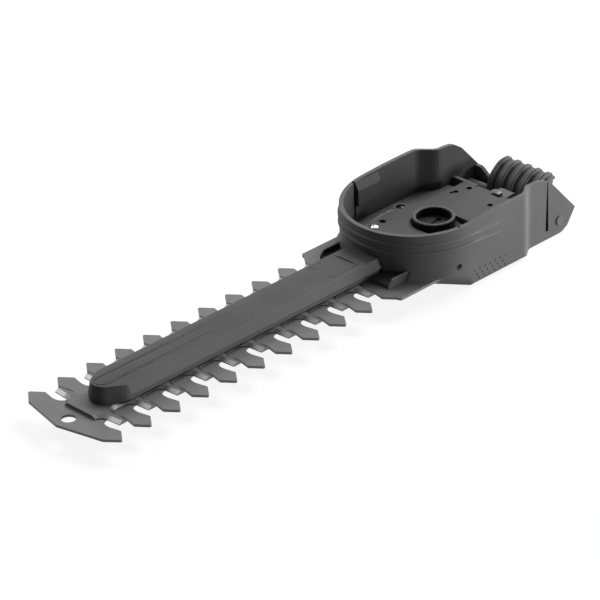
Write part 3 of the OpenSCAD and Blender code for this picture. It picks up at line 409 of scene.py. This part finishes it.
pips = moulding("grip_pips", np.array(points), faces, housing_nylon)
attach(pips, "frame")

# The deck: a separate nylon moulding let down into the tub over the drive, darker and
# smoother than the tub. Four screws hold it.
deck_nylon = moulded("deck_nylon", 0.100, 0.116, 0.50, 0.15, 0.0006, 0.000014, 0.25)
dress(deck_nylon, "deck_plate")

# The deck's far front edge carries a light, lumpy lip whose light grey is a painted highlight
# along the edge. It lies half sunk along the edge, found by looking in from the far side.
# Painted highlight: the lip is a lighter grey than the deck.
lip_highlight_nylon = moulded("lip_highlight_nylon", 0.17, 0.21, 0.50, 0.15, 0.0006, 0.000014, 0.25)
deck_mesh = part["deck_plate"].data
deck_tree = BVHTree.FromPolygons([corner.co for corner in deck_mesh.vertices],
                                 [face.vertices for face in deck_mesh.polygons])
lip_start, lip_length, lump_steps = -0.0255, 0.0215, 8
along = np.linspace(0, lump_steps, 90)
x = lip_start + lip_length * along / lump_steps
y = np.array([deck_tree.ray_cast(Vector((a, 0.05, -0.0003)), Vector((0, -1, 0)))[0].y
              for a in x]) - 0.0002
lumps = 1 + 0.35 * np.sin(along * 5.3) * np.sin(along * 2.1)
thin = np.clip(np.minimum(along, along[-1] - along) / 0.8, 0.1, 1) * lumps
path = np.stack([x, y, np.full_like(x, 0.00010)], -1)
lip_wide, lip_high = 0.00070, 0.00060
rings = swept(path, lip_wide * thin, lip_high * thin, np.array([0.0, 0.0, 1.0]))
lip = woven("deck_lip_highlight", rings, lip_highlight_nylon)
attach(lip, "frame")

# Screws: chromed pan heads on the deck, the two further back painted near black as painted
# shade, and plain steel ones below, for the sole cover and the comb.
screw_chrome, shader = open_finish("screw_chrome")
spun = speckle(screw_chrome, 0.0003, (1, 1, 1), 3.0)
plated = tint(screw_chrome, spun, (0.62, 0.62, 0.62), (0.82, 0.82, 0.80))
# Painted shade: heads behind x = -10 mm are painted near black.
screw_shade = spread(screw_chrome, place_on(screw_chrome)["X"], -0.0120, -0.0100)
screw_chrome.node_tree.links.new(
    tint(screw_chrome, screw_shade, plated, (0.025, 0.025, 0.025)), shader.inputs["Base Color"])
screw_chrome.node_tree.links.new(spread(screw_chrome, spun, 0.3, 0.7, 0.16, 0.30), shader.inputs["Roughness"])
shader.inputs["Metallic"].default_value = 1.0
relief(screw_chrome, shader, spun, 0.000006, 0.00010)
dress(screw_chrome, "deck_screws")
dress(plain_steel, "sole_screws", "comb_screws")

# The drive cup: moulded in black acetal and turned by the tool's shaft. Its rim is scuffed
# light, and faces that look up are painted lighter as painted light from above.
cup_acetal = moulded("cup_acetal", 0.016, 0.022, 0.34, 0.10, 0.0006, 0.000010, 0.9)
shader = cup_acetal.node_tree.nodes["Principled BSDF"]
cup_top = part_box("drive_cup")[1][2]
plain = shader.inputs["Base Color"].links[0].from_socket
# Painted light: faces looking up get a lighter grey than the walls.
level = spread(cup_acetal, skin_way(cup_acetal)["Z"], 0.8, 0.95)
scuffs = spread(cup_acetal, speckle(cup_acetal, 0.0006, (1, 1, 1), 3.0), 0.35, 0.65, 0.25, 0.9)
rim = times(cup_acetal, spread(cup_acetal, place_on(cup_acetal)["Z"], cup_top - 0.0012, cup_top - 0.0003),
            scuffs)
lit_from_above = tint(cup_acetal, level, plain, (0.045, 0.045, 0.045))
cup_acetal.node_tree.links.new(tint(cup_acetal, rim, lit_from_above, (0.24, 0.24, 0.24)),
                               shader.inputs["Base Color"])
dress(cup_acetal, "drive_cup")

# The cup's bearing bush is pressed from sintered bronze and soaked in oil. The crank pin and
# its roller, which drive the cutter's yoke, are hardened steel.
bronze, shader = open_finish("sintered_bronze")
pores = speckle(bronze, 0.0002, (1, 1, 1), 4.0)
bronze.node_tree.links.new(
    tint(bronze, pores, (0.30, 0.17, 0.08), (0.52, 0.33, 0.15)), shader.inputs["Base Color"])
bronze.node_tree.links.new(spread(bronze, pores, 0.3, 0.7, 0.35, 0.55), shader.inputs["Roughness"])
shader.inputs["Metallic"].default_value = 1.0
relief(bronze, shader, pores, 0.000010, 0.00010)
dress(bronze, "bearing_bush")
dress(plain_steel, "crank_pin", "crank_roller")

# The latch lever: an arched shell moulded in grey nylon, with the arm that carries the stud.
# It turns on a pin through the housing's cheeks.
# Painted shade: hollows narrower than 4 mm are painted darker, to 0.18 of the colour.
lever_nylon = moulded("lever_nylon", 0.170, 0.195, 0.50, 0.15, 0.0005, 0.000018, 0.45, 0.0002, 0.18,
                      near=0.004)
dress(lever_nylon, "latch_lever")

# Its thumb face: five cross ribs with a fine groove along each crown, over the arch's skin.
# At angle u round the arch the skin's radius swells from skin_low to skin_low + skin_swell,
# and at distance off from a rib's middle the rib adds rib_rise (smooth step of off - groove).
arch_x, arch_z = 0.0767, -0.0100
half_wide, rib_pitch, rib_rise = 0.01845, 0.00765, 0.0017
skin_low, skin_swell, skin_under = 0.01335, 0.00100, 0.0126
u = np.radians(np.linspace(6, 104, 72))
v = np.linspace(-half_wide, half_wide, 340)
off = np.abs(v - rib_pitch * np.clip(np.round(v / rib_pitch), -2, 2))
bump = 1 - np.clip((off - 0.0011) / 0.0004, 0, 1)
bump = bump * bump * (3 - 2 * bump) - 0.45 * np.exp(-(off / 0.00028) ** 2)
swell = np.clip((u - math.radians(55)) / math.radians(30), 0, 1)
swell = skin_low + skin_swell * swell * swell * (3 - 2 * swell)
ends = np.clip(np.minimum(u - u[0], u[-1] - u) / math.radians(7), 0, 1)
ends = np.sqrt(1 - (1 - ends) ** 2)
outer = swell[:, None] + rib_rise * bump[None] * ends[:, None]
outer = np.concatenate([outer, np.full((len(u), 2), skin_under)], 1)
v = np.concatenate([v, [half_wide, -half_wide]])
grid = np.stack([arch_x - outer * np.cos(u)[:, None], np.broadcast_to(v, outer.shape),
                 arch_z + outer * np.sin(u)[:, None]], -1)
# Painted shade: narrow hollows are painted darker, and a point attribute paints the feet and grooves of the
# ribs near black.
thumb_nylon = moulded("thumb_nylon", 0.205, 0.235, 0.50, 0.15, 0.0005, 0.000018, 0.45, 0.0002, 0.18,
                      near=0.004)
shader = thumb_nylon.node_tree.nodes["Principled BSDF"]
clean = shader.inputs["Base Color"].links[0].from_socket
rib_shade = add(thumb_nylon, "Attribute", attribute_name="rib_shade").outputs["Fac"]
thumb_nylon.node_tree.links.new(tint(thumb_nylon, rib_shade, clean, (0.02, 0.02, 0.02)),
                                shader.inputs["Base Color"])
thumb_face = woven("thumb_face", grid, thumb_nylon)
# Painted shade at the foot of each rib and in its groove: two bells of off, and a lighter darkening between
# ribs.
foot = (0.75 * np.exp(-((off - 0.0017) / 0.00045) ** 2) + 0.65 * np.exp(-(off / 0.00032) ** 2)
        + 0.30 * np.clip((off - 0.0015) / 0.0005, 0, 1))
foot = np.concatenate([np.clip(foot, 0, 0.9), [0.3, 0.3]])
foot = np.concatenate([np.tile(foot, len(u)), [0.0, 0.0]]).astype(np.float32)
thumb_face.data.attributes.new("rib_shade", "FLOAT", "POINT").data.foreach_set("value", foot)
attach(thumb_face, "latch")

# The latch's hinge pin and the clip on its far end: steel, blacked in hot oxide and left
# matt. The pin is pushed through both cheeks and the lever.
oxide, shader = open_finish("black_oxide")
bloom = speckle(oxide, 0.0008, (1, 1, 1), 4.0)
oxide.node_tree.links.new(
    tint(oxide, bloom, (0.10, 0.10, 0.10), (0.16, 0.16, 0.16)), shader.inputs["Base Color"])
oxide.node_tree.links.new(spread(oxide, bloom, 0.3, 0.7, 0.45, 0.6), shader.inputs["Roughness"])
shader.inputs["Metallic"].default_value = 0.2
relief(oxide, shader, bloom, 0.000008, 0.00015)
dress(oxide, "latch_pin", "pin_clip")

# The stud that catches in the tool: a small zinc die casting, tumbled and dulled by use,
# with its shank pressed into the lever's arm.
stud_zinc, shader = open_finish("stud_zinc")
tumbled = speckle(stud_zinc, 0.0005, (1, 1, 1), 3.0)
stud_zinc.node_tree.links.new(
    tint(stud_zinc, tumbled, (0.09, 0.09, 0.09), (0.17, 0.17, 0.17)), shader.inputs["Base Color"])
stud_zinc.node_tree.links.new(spread(stud_zinc, tumbled, 0.3, 0.7, 0.35, 0.5), shader.inputs["Roughness"])
shader.inputs["Metallic"].default_value = 0.3
relief(stud_zinc, shader, tumbled, 0.000010, 0.00015)
dress(stud_zinc, "latch_stud")

# The latch spring: hard-drawn steel wire, wound four and a quarter turns round the hinge
# pin: (r cos a, pitch a, r sin a). One leg reaches the housing's ledge, one lifts the lever.
wire_half, coil_radius, hinge_x, hinge_z = 0.00045, 0.0026, 0.0647, -0.0120
coil_start_y, coil_end_y, coil_steps = 0.00575, 0.00995, 300
ledge_foot = np.array([0.0567, coil_start_y, -0.01595])
lever_push = np.array([0.06904, coil_end_y, -0.00253])
turn = np.radians(np.linspace(-90, 1440, coil_steps))
coil = np.stack([hinge_x + coil_radius * np.cos(turn), np.linspace(coil_start_y, coil_end_y, coil_steps),
                 hinge_z + coil_radius * np.sin(turn)], -1)
part_way = np.linspace(0, 1, 12, endpoint=False)[:, None]
path = np.concatenate([ledge_foot + (coil[0] - ledge_foot) * part_way, coil,
                       lever_push + (coil[-1] - lever_push) * part_way[::-1]])
wire = np.clip(np.minimum(np.arange(len(path)), np.arange(len(path))[::-1]) / 2, 0.5, 1) * wire_half
rings = swept(path, wire, wire, np.array([0.0, 1.0, 0.0]), 12)
spring = woven("torsion_spring", rings, plain_steel)
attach(spring, "latch")
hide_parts("latch_spring")

# The studio: a plain pale floor under the sole, a broad lamp high behind the housing, a
# weaker one beyond the far side and two small low ones that graze the housing's near side.
ground_z = cad_box[0][2] - 0.00002
floor_half = 5
floor_mesh = bpy.data.meshes.new("studio_floor")
floor_mesh.from_pydata([(a * floor_half, b * floor_half, ground_z)
                        for a, b in ((-1, -1), (1, -1), (1, 1), (-1, 1))], [], [(0, 1, 2, 3)])
studio_floor = bpy.data.objects.new("studio_floor", floor_mesh)
bpy.context.scene.collection.objects.link(studio_floor)
floor_paint, _ = open_finish("floor_paint")


def looked_at(finish):
    """1 for light that the camera sees directly, in a gloss or through something clear."""
    paths = add(finish, "LightPath").outputs
    seen = add(finish, "Math", {0: paths["Is Camera Ray"], 1: paths["Is Glossy Ray"]}, operation="MAXIMUM")
    return add(finish, "Math", {0: seen.outputs[0], 1: paths["Is Transmission Ray"]},
               operation="MAXIMUM").outputs[0]


glow = add(floor_paint, "Emission", {"Color": (1, 1, 1, 1), "Strength": 0.87}).outputs[0]
shade = add(floor_paint, "BsdfDiffuse", {"Color": (0.22, 0.22, 0.22, 1)}).outputs[0]
pale = add(floor_paint, "AddShader", {0: glow, 1: shade}).outputs[0]
quiet = add(floor_paint, "BsdfDiffuse", {"Color": (0.20, 0.20, 0.20, 1)}).outputs[0]
both = add(floor_paint, "MixShader", {0: looked_at(floor_paint), 1: quiet, 2: pale}).outputs[0]
floor_paint.node_tree.links.new(both, floor_paint.node_tree.nodes["Material Output"].inputs["Surface"])
floor_mesh.materials.append(floor_paint)

studio_air = bpy.data.worlds.new("studio_air")
studio_air.use_nodes = True
bpy.context.scene.world = studio_air
sky = studio_air.node_tree.nodes["Background"]
sky.inputs["Color"].default_value = (1, 1, 1, 1)
studio_air.node_tree.links.new(spread(studio_air, looked_at(studio_air), 0, 1, 0.02, 1.0),
                               sky.inputs["Strength"])


def softbox(name, place, aim, width, share):
    """A square lamp at place that looks at aim. share is the part of full light, in which
    white looks white, that it throws on a card held square to it at aim."""
    lamp = bpy.data.lights.new(name, "AREA")
    lamp.size = width
    way = Vector(aim) - Vector(place)
    lamp.energy = share * math.pi ** 2 * way.length ** 2
    box = bpy.data.objects.new(name, lamp)
    box.matrix_world = Matrix.Translation(place) @ way.to_track_quat("-Z", "Y").to_matrix().to_4x4()
    bpy.context.scene.collection.objects.link(box)


middle = (-0.10, 0.0, 0.0)
softbox("overhead_box", (1.186, 0.0, 1.532), middle, 1.0, 0.71)
softbox("far_box", (-0.10, 1.532, 1.286), middle, 1.0, 0.30)
softbox("low_end_box", (1.630, -0.999, 0.18), middle, 0.35, 0.50)
softbox("low_side_box", (0.899, -1.730, 0.18), middle, 0.35, 0.42)

bpy.context.scene.view_settings.view_transform = "Standard"
